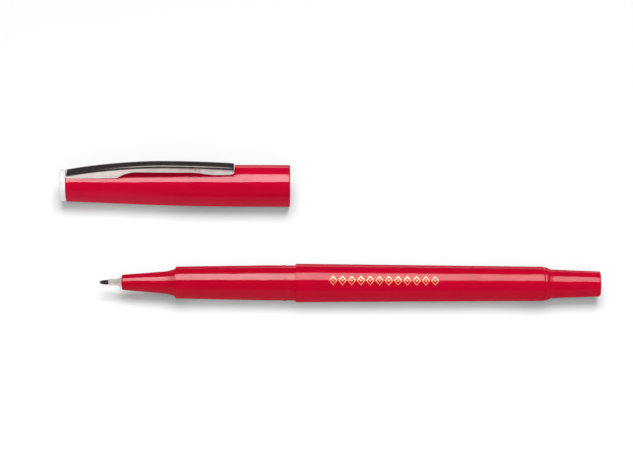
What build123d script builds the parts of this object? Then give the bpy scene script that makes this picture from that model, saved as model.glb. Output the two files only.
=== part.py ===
from build123d import *

import os
from math import sqrt

# Fineliner pen with its cap taken off and laid beside it.
# Sizes are in millimetres, +Z is up and the table top is Z = 0. The pen lies along X with its
# writing tip towards -X. The cap lies behind it, towards +Y, with its mouth towards +X.

# Fits and allowances shared by several pieces
PUSH_GAP = 0.02  # radial gap of pieces pushed together for good
SLIP_GAP = 0.05  # radial gap of pieces that slide together
END_GAP = 0.2  # room left at the blind end of a socket
CUT_OVERRUN = 1.0  # how far a cut runs past the face it breaks through
MATCH = 0.001  # how near an edge must be to the place asked for

# Fibre tip
TIP_DIAMETER = 1.2
TIP_REACH = 2.2  # length in front of the collar
TIP_TAPER_LENGTH = 1.6  # curved length that narrows to the writing point
TIP_POINT_DIAMETER = 0.5
TIP_END_ROUND = 0.2
TIP_SOAK = 7.0  # length inside the reservoir

# Metal collar round the tip
COLLAR_REACH = 3.4  # length in front of the nose
COLLAR_FRONT_DIAMETER = 1.62
COLLAR_FLANGE_DIAMETER = 2.4
COLLAR_FLANGE_LENGTH = 0.5
COLLAR_FLARE_LENGTH = 0.9  # from the straight front of the collar to its flange
COLLAR_SEAT_DIAMETER = 2.1
COLLAR_SEAT_LENGTH = 6.0  # length pushed into the nose
COLLAR_EDGE_BREAK = 0.08

# Ink reservoir and the film wrapped round it
RESERVOIR_DIAMETER = 6.0
FILM_THICKNESS = 0.2

# Grip section, measured forwards from the shoulder that stops the cap
SEAT_DIAMETER = 8.96  # straight land that the cap closes on
SEAT_LENGTH = 8.0
RIDGE_STATION = 2.8  # middle of the snap ridge
RIDGE_WIDTH = 1.0
RIDGE_HEIGHT = 0.06
GRIP_LENGTH = 30.6
GRIP_FRONT_DIAMETER = 8.15
GRIP_EDGE_BREAK = 0.15
FLARE_DIAMETER = 7.2  # foot of the nose, where it meets the step of the grip
FLARE_LENGTH = 3.0
NOSE_CONE_LENGTH = 10.7
NOSE_REAR_DIAMETER = 5.6
NOSE_FRONT_DIAMETER = 3.9
NOSE_EDGE_BREAK = 0.3
SECTION_FRONT_WALL = 2.0  # from the step of the grip back to the reservoir bore
FUNNEL_LENGTH = 3.0
SPIGOT_LENGTH = 10.0  # length pushed into the barrel
SPIGOT_WALL = 0.5
SPIGOT_CHAMFER = 0.3

# Barrel
BARREL_LENGTH = 63.4
BARREL_FRONT_DIAMETER = 9.85
BARREL_REAR_DIAMETER = 8.75
BARREL_FRONT_BREAK = 0.15
BARREL_REAR_BREAK = 0.35
RIB_COUNT = 6
RIB_HEIGHT = 0.3
RIB_WIDTH = 0.6
RIB_ROOT = 0.2  # depth of a rib's root inside the wall

# Tail plug
TAIL_LENGTH = 14.3
TAIL_COLLAR_DIAMETER = 7.9
TAIL_COLLAR_LENGTH = 0.8  # straight ring against the barrel
TAIL_SWEEP_LENGTH = 1.5  # from the ring to the cone
TAIL_FRONT_DIAMETER = 7.3
TAIL_END_DIAMETER = 6.4
TAIL_END_BREAK = 0.3
TAIL_WALL = 0.9
TAIL_END_WALL = 1.5
TAIL_SPIGOT_LENGTH = 7.0

# Cap shell, measured inwards from its mouth
CAP_LENGTH = 58.8
CAP_MOUTH_DIAMETER = 11.0
CAP_END_DIAMETER = 8.55
CAP_STRAIGHT_LENGTH = 14.0  # cylindrical length at the mouth
CAP_CURVE_LENGTH = 26.0  # curved length between the cylinder and the cone
CAP_MOUTH_BREAK = 0.2
CAP_LEAD_IN = 0.2
CAP_END_BREAK = 0.25
CAP_BORE_LENGTH = 20.0
CAP_THROAT_DIAMETER = 8.4  # where the bore ends at the inner cap
SNAP_GROOVE_DEPTH = 0.08
CAP_END_WALL = 4.6

# Inner cap that seals the nose
INNER_CAP_STANDOFF = 1.2  # from the step of the grip to the sealing lip, with the cap closed
INNER_CAP_DIAMETER = 7.3
INNER_CAP_WALL = 0.6
INNER_CAP_END_WALL = 1.0
LIP_LENGTH = 0.6
LIP_SPREAD = 0.25

# Crown plug that closes the cap and holds the clip
CROWN_DIAMETER = 8.3
CROWN_LENGTH = 1.68
CROWN_BREAK = 0.25
STEM_DIAMETER = 5.0
STEM_LENGTH = 4.2
STEM_CHAMFER = 0.3

# Spring clip, a folded strip measured from its root at the crown
CLIP_SHEET = 0.45
CLIP_LENGTH = 44.4
CLIP_WIDTH = 2.6  # over the folds
CLIP_SPLAY = 0.5  # how far each side wall spreads
CLIP_SPLAY_DEPTH = 3.2  # depth over which it spreads so far
CLIP_FOLD = 0.2  # break along the outside of the long folds
CLIP_ROOT_BEND = 0.7
CLIP_TIP_BEND = 0.6
CLIP_ROOT_HEIGHT = 0.7  # top of the clip above the end of the cap
CLIP_CREST_HEIGHT = 2.9  # top of the clip above the cap's mouth, at the crest
CLIP_CREST_STATION = 26.0
CLIP_TIP_HEIGHT = 2.1
CLIP_FLANGE_DEPTH = 1.75  # side walls between heel and foot
CLIP_HEEL_LENGTH = 13.7
CLIP_HEEL_SWEEP = 5.3
CLIP_HEEL_ROUND = 0.3
CLIP_FOOT_STATION = 33.0
CLIP_FOOT_SWEEP = 6.4
CLIP_FOOT_ROUND = 1.0
CLIP_HEEL_GAP = 0.06  # between the clip's side walls and the cap
CLIP_FOOT_GAP = 0.42
CLIP_PLAY = 0.1  # side play of the clip's root in its notch
EYE_WIDTH = 0.7  # rim of the eye that the crown's stem goes through
EYE_PLAY = 0.25  # room of the eye on the stem
EYE_SWING = 0.6  # room behind the eye for the clip to spring open

# How the two pieces lie
LAY_SPACING = 33.3  # between the axes of pen and cap
LAY_LAG = 1.7  # how far the cap's mouth lies short of the shoulder

# Radii worked out along the pen
tip_r = TIP_DIAMETER / 2
tip_point_r = TIP_POINT_DIAMETER / 2
core_r = RESERVOIR_DIAMETER / 2
film_inner_r = core_r + PUSH_GAP
film_r = film_inner_r + FILM_THICKNESS
section_bore_r = film_r + SLIP_GAP
spigot_r = section_bore_r + SPIGOT_WALL
seat_r = SEAT_DIAMETER / 2
collar_seat_r = COLLAR_SEAT_DIAMETER / 2
collar_bore_r = tip_r + PUSH_GAP
nose_bore_r = collar_seat_r + PUSH_GAP
nose_front_r = NOSE_FRONT_DIAMETER / 2
barrel_front_r = BARREL_FRONT_DIAMETER / 2
barrel_bore_r = section_bore_r + RIB_HEIGHT
tail_spigot_r = barrel_bore_r - PUSH_GAP
tail_hollow_r = TAIL_END_DIAMETER / 2 - TAIL_WALL

# Stations along the pen, from the shoulder at the front of the barrel towards the tail
grip_front = -GRIP_LENGTH
flare_front = grip_front - FLARE_LENGTH
nose_front = flare_front - NOSE_CONE_LENGTH
collar_front = nose_front - COLLAR_REACH
tip_front = collar_front - TIP_REACH
tip_taper_rear = tip_front + TIP_TAPER_LENGTH
bore_front = grip_front + SECTION_FRONT_WALL
funnel_front = bore_front - FUNNEL_LENGTH
collar_rear = nose_front + COLLAR_SEAT_LENGTH
barrel_rear = BARREL_LENGTH
tail_rear = barrel_rear + TAIL_LENGTH
tail_ring_rear = barrel_rear + TAIL_COLLAR_LENGTH
tail_cone_front = tail_ring_rear + TAIL_SWEEP_LENGTH
tail_spigot_front = barrel_rear - TAIL_SPIGOT_LENGTH
reservoir_front = bore_front + END_GAP
reservoir_rear = tail_spigot_front - END_GAP
tip_rear = reservoir_front + TIP_SOAK

# Radii and depths of the cap
cap_r = CAP_MOUTH_DIAMETER / 2
cap_end_r = CAP_END_DIAMETER / 2
cap_bore_r = seat_r + SLIP_GAP
stem_r = STEM_DIAMETER / 2
throat_r = CAP_THROAT_DIAMETER / 2
inner_r = INNER_CAP_DIAMETER / 2
inner_mouth = GRIP_LENGTH + INNER_CAP_STANDOFF
cap_floor = CAP_LENGTH - CAP_END_WALL
inner_end = cap_floor - END_GAP
eye_hole_r = stem_r + EYE_PLAY
eye_r = eye_hole_r + EYE_WIDTH
eye_recess = CLIP_SHEET + EYE_SWING
crown_seat = CAP_LENGTH + SLIP_GAP
crown_end = crown_seat + CROWN_LENGTH

# The cap's outside: a cylinder, an arc tangent to it, and a cone tangent to the arc
cone_start = CAP_STRAIGHT_LENGTH + CAP_CURVE_LENGTH
cone_slope = (cap_r - cap_end_r) / (CAP_LENGTH - cone_start + CAP_CURVE_LENGTH / 2)
cone_start_r = cap_end_r + cone_slope * (CAP_LENGTH - cone_start)

# Heights of the clip's arched web over the cap's axis
root_top = cap_end_r + CLIP_ROOT_HEIGHT
crest_top = cap_r + CLIP_CREST_HEIGHT
tip_top = cap_r + CLIP_TIP_HEIGHT

# Place of the pen and the cap, with the middle of the whole lay-out over the origin
pen_x = (LAY_LAG + crown_end - tail_rear) / 2
pen_y = (barrel_front_r - cap_r - LAY_SPACING) / 2
cap_y = pen_y + LAY_SPACING
mouth_x = pen_x - LAY_LAG
root_x = mouth_x - CAP_LENGTH

pen_plane = Plane(origin=(pen_x, pen_y, barrel_front_r), x_dir=(1, 0, 0), z_dir=(0, -1, 0))
cap_plane = Plane(origin=(mouth_x, cap_y, cap_r), x_dir=(-1, 0, 0), z_dir=(0, 1, 0))
clip_plane = Plane(origin=(root_x, cap_y, cap_r), x_dir=(1, 0, 0), z_dir=(0, -1, 0))
root_plane = Plane(origin=(root_x, cap_y, cap_r), x_dir=(0, 1, 0), z_dir=(1, 0, 0))
pen_axis = Axis(pen_plane.origin, pen_plane.x_dir)
cap_axis = Axis(cap_plane.origin, cap_plane.x_dir)


def ring(piece, plane, station, radius):
    """The round edges of a turned piece at one station along its axis."""
    circles = piece.edges().filter_by(GeomType.CIRCLE)
    circles = circles.filter_by(lambda edge: abs(edge.radius - radius) < MATCH)
    return circles.filter_by(lambda edge: abs(plane.to_local_coords(edge.arc_center).X - station) < MATCH)


def cap_radius(depth):
    """Outer radius of the cap at a depth from its mouth."""
    if depth <= CAP_STRAIGHT_LENGTH:
        return cap_r
    if depth >= cone_start:
        return cap_end_r + cone_slope * (CAP_LENGTH - depth)
    drop = cap_r - cone_start_r
    bow = (CAP_CURVE_LENGTH**2 + drop**2) / (2 * drop)
    return cap_r - bow + sqrt(bow**2 - (depth - CAP_STRAIGHT_LENGTH) ** 2)


def web_top(station):
    """Height over the cap's axis of the top of the clip's arched web."""
    behind = station < CLIP_CREST_STATION
    run = CLIP_CREST_STATION if behind else CLIP_LENGTH - CLIP_CREST_STATION
    drop = crest_top - (root_top if behind else tip_top)
    bow = (run**2 + drop**2) / (2 * drop)
    return crest_top - bow + sqrt(bow**2 - (station - CLIP_CREST_STATION) ** 2)


def clip_floor(station, gap):
    """Height over the cap's axis at which the clip's spread side walls clear the cap by a gap."""
    radius = cap_radius(CAP_LENGTH - station)
    spread = (web_top(station) - radius) * CLIP_SPLAY / CLIP_SPLAY_DEPTH
    inside = CLIP_WIDTH / 2 - CLIP_SHEET + spread
    return sqrt(radius**2 - inside**2) + gap


def along_fold(edge):
    """Whether an edge of the clip runs along one of its long folds, on the outside."""
    place = clip_plane.to_local_coords(edge.center())
    at_side = abs(place.Z) > (CLIP_WIDTH - CLIP_SHEET) / 2
    return at_side and web_top(place.X) - place.Y < CLIP_ROOT_BEND / 2


# Fibre tip: a rod that curves in to a rounded point, and whose rear end stands in the reservoir
with BuildPart() as fibre_tip:
    with BuildSketch(pen_plane):
        with BuildLine():
            TangentArc((tip_taper_rear, tip_r), (tip_front, tip_point_r), tangent=(-1, 0))
            Polyline(
                (tip_front, tip_point_r),
                (tip_front, 0),
                (tip_rear, 0),
                (tip_rear, tip_r),
                (tip_taper_rear, tip_r),
            )
        make_face()
    revolve(axis=pen_axis)
    fillet(ring(fibre_tip, pen_plane, tip_front, tip_point_r), TIP_END_ROUND)

# Collar: a metal tube that flares to a flange against the nose
flange_r = COLLAR_FLANGE_DIAMETER / 2
flange_front = nose_front - COLLAR_FLANGE_LENGTH
straight_rear = flange_front - COLLAR_FLARE_LENGTH
collar_front_r = COLLAR_FRONT_DIAMETER / 2
with BuildPart() as tip_collar:
    with BuildSketch(pen_plane):
        with BuildLine():
            Line((collar_front, collar_bore_r), (collar_front, collar_front_r))
            Line((collar_front, collar_front_r), (straight_rear, collar_front_r))
            TangentArc((straight_rear, collar_front_r), (flange_front, flange_r), tangent=(1, 0))
            Polyline(
                (flange_front, flange_r),
                (nose_front, flange_r),
                (nose_front, collar_seat_r),
                (collar_rear, collar_seat_r),
                (collar_rear, collar_bore_r),
                (collar_front, collar_bore_r),
            )
        make_face()
    revolve(axis=pen_axis)
    chamfer(ring(tip_collar, pen_plane, collar_front, collar_front_r), COLLAR_EDGE_BREAK)

# Reservoir: a fibre rod with a socket for the tip
with BuildPart() as ink_reservoir:
    with BuildSketch(pen_plane):
        with BuildLine():
            Polyline(
                (reservoir_front, collar_bore_r),
                (reservoir_front, core_r),
                (reservoir_rear, core_r),
                (reservoir_rear, 0),
                (tip_rear + PUSH_GAP, 0),
                (tip_rear + PUSH_GAP, collar_bore_r),
                close=True,
            )
        make_face()
    revolve(axis=pen_axis)

# Film wrapped round the reservoir, open at both ends
with BuildPart() as reservoir_film:
    with BuildSketch(pen_plane):
        with BuildLine():
            Polyline(
                (reservoir_front, film_inner_r),
                (reservoir_front, film_r),
                (reservoir_rear, film_r),
                (reservoir_rear, film_inner_r),
                close=True,
            )
        make_face()
    revolve(axis=pen_axis)

# Grip section: nose, concave flare, step, tapering grip, cap seat with its ridge, and spigot
ridge_middle = -RIDGE_STATION
with BuildPart() as grip_section:
    with BuildSketch(pen_plane):
        with BuildLine():
            Line((nose_front, nose_bore_r), (nose_front, nose_front_r))
            cone = Line((nose_front, nose_front_r), (flare_front, NOSE_REAR_DIAMETER / 2))
            TangentArc(cone @ 1, (grip_front, FLARE_DIAMETER / 2), tangent=cone % 1)
            Polyline(
                (grip_front, FLARE_DIAMETER / 2),
                (grip_front, GRIP_FRONT_DIAMETER / 2),
                (-SEAT_LENGTH, seat_r),
                (ridge_middle - RIDGE_WIDTH / 2, seat_r),
                (ridge_middle, seat_r + RIDGE_HEIGHT),
                (ridge_middle + RIDGE_WIDTH / 2, seat_r),
                (0, seat_r),
                (0, spigot_r),
                (SPIGOT_LENGTH, spigot_r),
                (SPIGOT_LENGTH, section_bore_r),
                (bore_front, section_bore_r),
                (funnel_front, nose_bore_r),
                (nose_front, nose_bore_r),
            )
        make_face()
    revolve(axis=pen_axis)
    chamfer(ring(grip_section, pen_plane, nose_front, nose_front_r), NOSE_EDGE_BREAK)
    chamfer(ring(grip_section, pen_plane, grip_front, GRIP_FRONT_DIAMETER / 2), GRIP_EDGE_BREAK)
    chamfer(ring(grip_section, pen_plane, SPIGOT_LENGTH, spigot_r), SPIGOT_CHAMFER)

# Barrel: a tapering tube with a socket for the grip section and ribs that centre the reservoir
socket_depth = SPIGOT_LENGTH + END_GAP
barrel_rear_r = BARREL_REAR_DIAMETER / 2
rib_length = tail_spigot_front - END_GAP - socket_depth
with BuildPart() as barrel:
    with BuildSketch(pen_plane):
        with BuildLine():
            Polyline(
                (0, spigot_r + PUSH_GAP),
                (0, barrel_front_r),
                (barrel_rear, barrel_rear_r),
                (barrel_rear, barrel_bore_r),
                (socket_depth, barrel_bore_r),
                (socket_depth, spigot_r + PUSH_GAP),
                close=True,
            )
        make_face()
    revolve(axis=pen_axis)
    chamfer(ring(barrel, pen_plane, 0, barrel_front_r), BARREL_FRONT_BREAK)
    chamfer(ring(barrel, pen_plane, barrel_rear, barrel_rear_r), BARREL_REAR_BREAK)
    with BuildSketch(Plane(pen_plane.origin, x_dir=(0, 1, 0), z_dir=(1, 0, 0)).offset(socket_depth)):
        with PolarLocations(section_bore_r, RIB_COUNT):
            Rectangle(RIB_HEIGHT + RIB_ROOT, RIB_WIDTH, align=(Align.MIN, Align.CENTER))
    extrude(amount=rib_length)

# Tail plug: hollow, with a straight ring against the barrel that sweeps into a long cone
with BuildPart() as tail_plug:
    with BuildSketch(pen_plane):
        with BuildLine():
            tail_cone = Line(
                (tail_rear, TAIL_END_DIAMETER / 2),
                (tail_cone_front, TAIL_FRONT_DIAMETER / 2),
            )
            TangentArc(tail_cone @ 1, (tail_ring_rear, TAIL_COLLAR_DIAMETER / 2), tangent=tail_cone % 1)
            Polyline(
                (tail_ring_rear, TAIL_COLLAR_DIAMETER / 2),
                (barrel_rear, TAIL_COLLAR_DIAMETER / 2),
                (barrel_rear, tail_spigot_r),
                (tail_spigot_front, tail_spigot_r),
                (tail_spigot_front, tail_hollow_r),
                (tail_rear - TAIL_END_WALL, tail_hollow_r),
                (tail_rear - TAIL_END_WALL, 0),
                (tail_rear, 0),
                (tail_rear, TAIL_END_DIAMETER / 2),
            )
        make_face()
    revolve(axis=pen_axis)
    chamfer(ring(tail_plug, pen_plane, tail_rear, TAIL_END_DIAMETER / 2), TAIL_END_BREAK)

# Cap shell: outside as above, inside a bore with a snap groove, then a seat for the inner cap
groove_front = RIDGE_STATION - RIDGE_WIDTH / 2 - SLIP_GAP
groove_rear = RIDGE_STATION + RIDGE_WIDTH / 2 + SLIP_GAP
with BuildPart() as cap_shell:
    with BuildSketch(cap_plane):
        with BuildLine():
            Line((0, cap_bore_r), (0, cap_r))
            Line((0, cap_r), (CAP_STRAIGHT_LENGTH, cap_r))
            TangentArc((CAP_STRAIGHT_LENGTH, cap_r), (cone_start, cone_start_r), tangent=(1, 0))
            Polyline(
                (cone_start, cone_start_r),
                (CAP_LENGTH, cap_end_r),
                (CAP_LENGTH, stem_r + PUSH_GAP),
                (cap_floor, stem_r + PUSH_GAP),
                (cap_floor, inner_r + PUSH_GAP),
                (inner_mouth, inner_r + PUSH_GAP),
                (inner_mouth, throat_r),
                (CAP_BORE_LENGTH, cap_bore_r),
                (groove_rear, cap_bore_r),
                (RIDGE_STATION, cap_bore_r + SNAP_GROOVE_DEPTH),
                (groove_front, cap_bore_r),
                (0, cap_bore_r),
            )
        make_face()
    revolve(axis=cap_axis)
    chamfer(ring(cap_shell, cap_plane, 0, cap_r), CAP_MOUTH_BREAK)
    chamfer(ring(cap_shell, cap_plane, 0, cap_bore_r), CAP_LEAD_IN)
    chamfer(ring(cap_shell, cap_plane, CAP_LENGTH, cap_end_r), CAP_END_BREAK)
    # Recess for the clip's eye, and the notch through which the clip comes out
    with BuildSketch(root_plane):
        Circle(eye_r + CLIP_PLAY)
        with Locations((0, cap_r / 2)):
            Rectangle(CLIP_WIDTH + 2 * CLIP_PLAY, cap_r)
    extrude(amount=eye_recess, mode=Mode.SUBTRACT)

# Inner cap: a blind cup whose spread lip closes on the flare of the nose
cup_r = inner_r - INNER_CAP_WALL
with BuildPart() as inner_cap:
    with BuildSketch(cap_plane):
        with BuildLine():
            Polyline(
                (inner_mouth, cup_r + LIP_SPREAD),
                (inner_mouth, inner_r),
                (inner_end, inner_r),
                (inner_end, 0),
                (inner_end - INNER_CAP_END_WALL, 0),
                (inner_end - INNER_CAP_END_WALL, cup_r),
                (inner_mouth + LIP_LENGTH, cup_r),
                close=True,
            )
        make_face()
    revolve(axis=cap_axis)

# Crown plug: a disc over the end of the cap, with a stem through the clip's eye
with BuildPart() as crown_plug:
    with BuildSketch(cap_plane):
        with BuildLine():
            Polyline(
                (crown_end, 0),
                (crown_end, CROWN_DIAMETER / 2),
                (crown_seat, CROWN_DIAMETER / 2),
                (crown_seat, stem_r),
                (crown_seat - STEM_LENGTH, stem_r),
                (crown_seat - STEM_LENGTH, 0),
                close=True,
            )
        make_face()
    revolve(axis=cap_axis)
    chamfer(ring(crown_plug, cap_plane, crown_end, CROWN_DIAMETER / 2), CROWN_BREAK)
    chamfer(ring(crown_plug, cap_plane, crown_seat - STEM_LENGTH, stem_r), STEM_CHAMFER)

# Clip: an arched channel, folded from one strip, deep at heel and foot and shallow between them
flange_floor = crest_top - CLIP_FLANGE_DEPTH
root_floor = clip_floor(0, CLIP_HEEL_GAP)
heel_end = (CLIP_HEEL_LENGTH, clip_floor(CLIP_HEEL_LENGTH, CLIP_HEEL_GAP))
waist_front = (CLIP_HEEL_LENGTH + CLIP_HEEL_SWEEP, flange_floor)
waist_rear = (CLIP_FOOT_STATION, flange_floor)
foot_front = CLIP_FOOT_STATION + CLIP_FOOT_SWEEP
foot_floor = clip_floor(foot_front, CLIP_FOOT_GAP)
foot_middle = (CLIP_FOOT_STATION + CLIP_FOOT_SWEEP / 2, (flange_floor + foot_floor) / 2)
crest = (CLIP_CREST_STATION, crest_top)
neck_top = root_floor + CLIP_SHEET

with BuildPart() as clip:
    with BuildSketch(clip_plane):
        with BuildLine():
            TangentArc(crest, (0, root_top), tangent=(-1, 0))
            TangentArc(crest, (CLIP_LENGTH, tip_top), tangent=(1, 0))
            Polyline((CLIP_LENGTH, tip_top), (CLIP_LENGTH, 0), (0, 0), (0, root_top))
        make_face()
    extrude(amount=CLIP_WIDTH / 2 + CLIP_SPLAY, both=True)
    # The spread of the side walls, then the hollow of the channel
    crest_point = clip_plane.from_local_coords((CLIP_CREST_STATION, crest_top, 0))
    web = clip.faces().sort_by_distance(crest_point)[0]
    chamfer(web.edges().filter_by(along_fold), CLIP_SPLAY, CLIP_SPLAY_DEPTH, reference=web)
    offset(amount=-CLIP_SHEET, openings=clip.faces().sort_by(Axis.Z)[0])
    # The bends across the strip at root and tip, then the two long folds
    root_corner = clip_plane.from_local_coords((0, root_top, 0))
    tip_corner = clip_plane.from_local_coords((CLIP_LENGTH, tip_top, 0))
    fillet(clip.edges().sort_by_distance(root_corner)[0], CLIP_ROOT_BEND)
    fillet(clip.edges().sort_by_distance(tip_corner)[0], CLIP_TIP_BEND)
    chamfer(clip.edges().filter_by(along_fold), CLIP_FOLD)
    # The lower edge of the side walls
    with BuildSketch(clip_plane) as below:
        with BuildLine():
            Polyline((-CUT_OVERRUN, -CUT_OVERRUN), (-CUT_OVERRUN, root_floor), (0, root_floor), heel_end)
            TangentArc(waist_front, heel_end, tangent=(-1, 0))
            Line(waist_front, waist_rear)
            TangentArc(waist_rear, foot_middle, tangent=(1, 0))
            TangentArc((foot_front, foot_floor), foot_middle, tangent=(-1, 0))
            Line((foot_front, foot_floor), (CLIP_LENGTH - CLIP_FOOT_ROUND, foot_floor))
            TangentArc(
                (CLIP_LENGTH - CLIP_FOOT_ROUND, foot_floor),
                (CLIP_LENGTH, foot_floor + CLIP_FOOT_ROUND),
                tangent=(1, 0),
            )
            Polyline(
                (CLIP_LENGTH, foot_floor + CLIP_FOOT_ROUND),
                (CLIP_LENGTH + CUT_OVERRUN, foot_floor + CLIP_FOOT_ROUND),
                (CLIP_LENGTH + CUT_OVERRUN, -CUT_OVERRUN),
                (-CUT_OVERRUN, -CUT_OVERRUN),
            )
        make_face()
        fillet(below.vertices().sort_by_distance((*heel_end, 0))[0], CLIP_HEEL_ROUND)
    extrude(amount=CLIP_WIDTH, both=True, mode=Mode.SUBTRACT)
    # The eye under the crown, on a neck that comes down from the root bend
    with BuildSketch(root_plane):
        Circle(eye_r)
        with Locations((0, neck_top / 2)):
            Rectangle(CLIP_WIDTH - 2 * CLIP_FOLD, neck_top)
        Circle(eye_hole_r, mode=Mode.SUBTRACT)
    extrude(amount=CLIP_SHEET)

pieces = {
    "fibre_tip": fibre_tip,
    "tip_collar": tip_collar,
    "ink_reservoir": ink_reservoir,
    "reservoir_film": reservoir_film,
    "grip_section": grip_section,
    "barrel": barrel,
    "tail_plug": tail_plug,
    "cap_shell": cap_shell,
    "inner_cap": inner_cap,
    "crown_plug": crown_plug,
    "clip": clip,
}
os.makedirs("parts", exist_ok=True)
for name, piece in pieces.items():
    piece.part.label = name
    export_step(piece.part, f"parts/{name}.step")
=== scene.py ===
import math

import bmesh
import bpy
from bpy.props import FloatProperty, FloatVectorProperty, IntProperty, PointerProperty
from mathutils import Matrix, Vector


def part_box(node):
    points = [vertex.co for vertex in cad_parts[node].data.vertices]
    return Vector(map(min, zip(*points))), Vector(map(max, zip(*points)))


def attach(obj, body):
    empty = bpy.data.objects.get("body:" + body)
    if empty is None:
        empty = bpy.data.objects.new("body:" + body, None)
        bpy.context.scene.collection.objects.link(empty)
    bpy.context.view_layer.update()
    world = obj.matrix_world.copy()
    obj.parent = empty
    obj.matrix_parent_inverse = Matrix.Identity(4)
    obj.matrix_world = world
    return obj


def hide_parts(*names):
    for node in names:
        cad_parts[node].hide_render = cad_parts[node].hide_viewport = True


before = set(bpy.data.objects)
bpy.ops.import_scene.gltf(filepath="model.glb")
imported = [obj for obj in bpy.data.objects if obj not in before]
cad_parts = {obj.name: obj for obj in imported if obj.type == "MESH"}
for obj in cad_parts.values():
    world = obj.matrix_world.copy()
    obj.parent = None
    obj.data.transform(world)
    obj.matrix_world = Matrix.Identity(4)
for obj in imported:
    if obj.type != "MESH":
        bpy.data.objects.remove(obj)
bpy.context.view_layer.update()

bl_info = {
    "name": "Fineliner pen",
    "version": (1, 0, 0),
    "blender": (4, 5, 0),
    "location": "3D View > Sidebar > Fineliner",
    "description": "Dresses the solids of a fineliner pen with its cap off",
    "category": "Object",
}

MM = 0.001
WHITE = (1, 1, 1, 1)


def on_axis(box, x):
    """The point at x on the axis of a turned piece that lies along X."""
    low, high = box
    return Vector((x, (low.y + high.y) / 2, (low.z + high.z) / 2))


BARREL_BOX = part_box("barrel")
CAP_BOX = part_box("cap_shell")
# The pen's axis at the shoulder in front of the barrel, and the cap's axis at its mouth and its closed end
SHOULDER = on_axis(BARREL_BOX, BARREL_BOX[0].x)
MOUTH = on_axis(CAP_BOX, CAP_BOX[1].x)
ROOT = on_axis(CAP_BOX, CAP_BOX[0].x)
# From millimetres to the frame: along the pen, along the cap from its mouth, along the clip from its root
ALONG_PEN = Matrix.Translation(SHOULDER) @ Matrix.Scale(MM, 4)
ALONG_CAP = Matrix.Translation(MOUTH) @ Matrix.Rotation(math.pi, 4, "Z") @ Matrix.Scale(MM, 4)
ALONG_CLIP = Matrix.Translation(ROOT) @ Matrix.Scale(MM, 4)


# Settings


def length(label, words, metres):
    """A property for one length."""
    return FloatProperty(
        name=label, description=words, default=metres, min=0.0, precision=5, subtype="DISTANCE", unit="LENGTH"
    )


def angle(label, words, degrees):
    """A property for one angle."""
    return FloatProperty(
        name=label, description=words, default=math.radians(degrees), subtype="ANGLE", unit="ROTATION"
    )


def power(label, words, watts):
    """A property for the power of one lamp."""
    return FloatProperty(name=label, description=words, default=watts, min=0.0, unit="POWER")


def share(label, words, part):
    """A property for one share, from none to all."""
    return FloatProperty(name=label, description=words, default=part, min=0.0, max=1.0, subtype="FACTOR")


def count(label, words, number, least):
    """A property for one count."""
    return IntProperty(name=label, description=words, default=number, min=least)


def colour(label, words, rgb):
    """A property for one colour."""
    return FloatVectorProperty(
        name=label, description=words, default=rgb, min=0.0, max=1.0, size=3, subtype="COLOR"
    )


class PenSizes(bpy.types.PropertyGroup):
    """Small sizes of the pieces, such as rounds and the clip's sheet, that can be changed by hand."""

    turn_steps: count("Steps of a turn", "Faces round a turned piece", 128, 24)
    round_steps: count("Steps of a round", "Faces across a rounded edge", 5, 1)
    step_round: length("Grip step", "Round at the step of the grip section", 0.00015)
    nose_round: length("Nose edge", "Round at the front of the nose", 0.00035)
    barrel_front_round: length("Barrel front", "Round at the front of the barrel", 0.0002)
    barrel_rear_round: length("Barrel rear", "Round at the rear of the barrel", 0.0003)
    tail_round: length("Tail end", "Round at the end of the tail plug", 0.00035)
    cap_mouth_round: length("Cap mouth", "Round at the mouth of the cap", 0.00025)
    cap_end_round: length("Cap end", "Round at the closed end of the cap", 0.0003)
    crown_round: length("Crown", "Round of the white crown", 0.0003)
    foil_start: length("Foil start", "From the shoulder to the first gold lozenge", 0.0084)
    foil_pitch: length("Foil pitch", "From one gold lozenge to the next", 0.00235)
    foil_height: length("Foil height", "Height of a gold lozenge round the barrel", 0.0026)
    foil_count: count("Foil count", "Number of gold lozenges", 12, 0)
    foil_turn: angle("Foil turn", "Angle of the gold lozenges above the table", 57)
    clip_width: length("Clip width", "Width of the clip over its folds", 0.0026)
    clip_splay: angle("Clip splay", "Angle at which the clip's side walls spread", 8.88)
    clip_sheet: length("Clip sheet", "Thickness of the clip's sheet", 0.00045)
    clip_fold: length("Clip folds", "Outer radius of the clip's long folds", 0.0006)


class PenFinishes(bpy.types.PropertyGroup):
    """Colours of the finishes."""

    cap_red: colour("Cap red", "Red of the cap", (0.58, 0.0015, 0.029))
    grip_red: colour("Grip red", "Red of the grip section", (0.50, 0.0015, 0.021))
    barrel_red: colour("Barrel red", "Red of the barrel and the tail", (0.53, 0.0015, 0.024))
    foil_gold: colour("Foil", "Gold of the lozenges on the barrel", (0.72, 0.42, 0.19))
    crown_white: colour("Crown", "White of the crown", (0.88, 0.86, 0.85))
    liner_white: colour("Inner cap", "Milky white of the inner cap", (0.78, 0.76, 0.72))
    # The clip's warm pink tint is partly the plating's own colour and partly a painted reflection of the red
    # cap
    clip_metal: colour("Clip", "Plated metal of the clip", (0.78, 0.69, 0.66))
    collar_metal: colour("Collar", "Metal of the collar", (0.76, 0.70, 0.63))
    tip_felt: colour("Tip", "Ink-soaked fibre of the tip", (0.030, 0.024, 0.027))
    reservoir_felt: colour("Reservoir", "Ink-soaked fibre of the reservoir", (0.10, 0.03, 0.04))
    film_clear: colour("Film", "Film round the reservoir", (0.72, 0.72, 0.70))


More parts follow.
